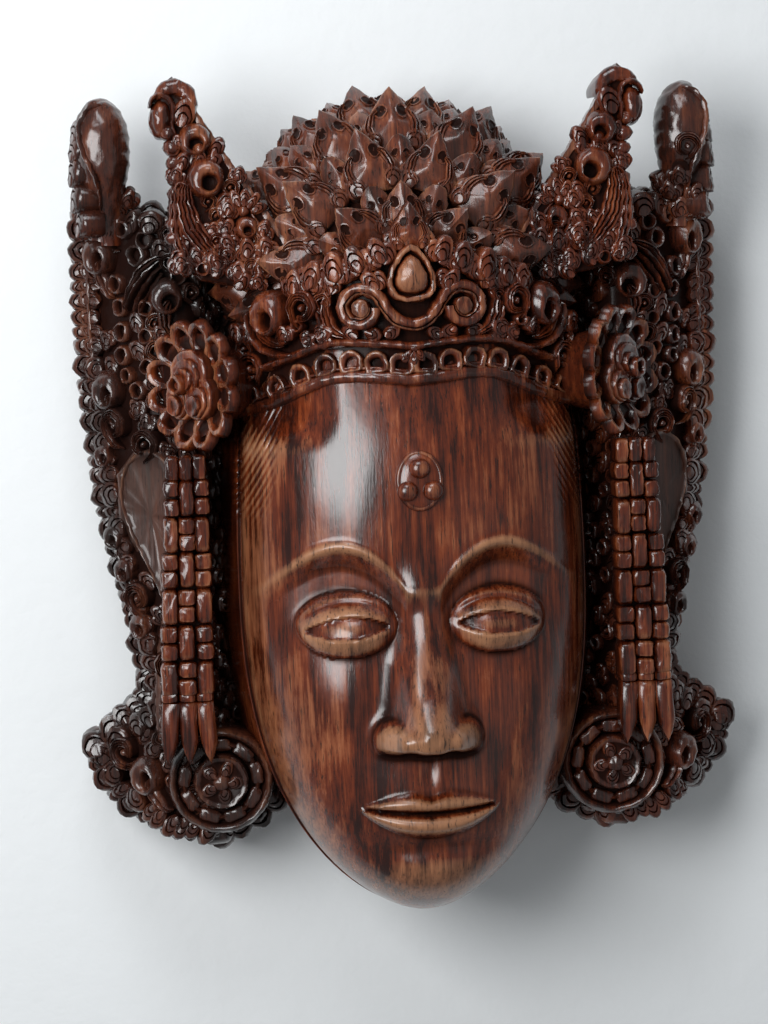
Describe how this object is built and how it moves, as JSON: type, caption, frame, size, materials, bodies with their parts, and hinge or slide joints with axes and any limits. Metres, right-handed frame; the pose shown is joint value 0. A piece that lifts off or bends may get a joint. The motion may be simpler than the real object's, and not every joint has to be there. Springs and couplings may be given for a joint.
{
  "type": "carved wooden mask",
  "caption": "Carved wooden face mask with closed calm eyes under a tall leaf crown, with upright horns, scalloped side wings, rosettes and tassels; hollow behind the face.",
  "frame": {"origin": "middle of the mask's footprint, on the plane of its flat back", "axes": "+Y to the crown, +Z out of the face towards the viewer, +X to the viewer's right"},
  "size_m": [0.2446, 0.3026, 0.1163],
  "materials": {
    "wood": "dark red-brown wood, wax-polished, near black in the cuts and worn lighter on the edges"
  },
  "bodies": {
    "root": {"mask": "wood"}
  },
  "joints": []
}
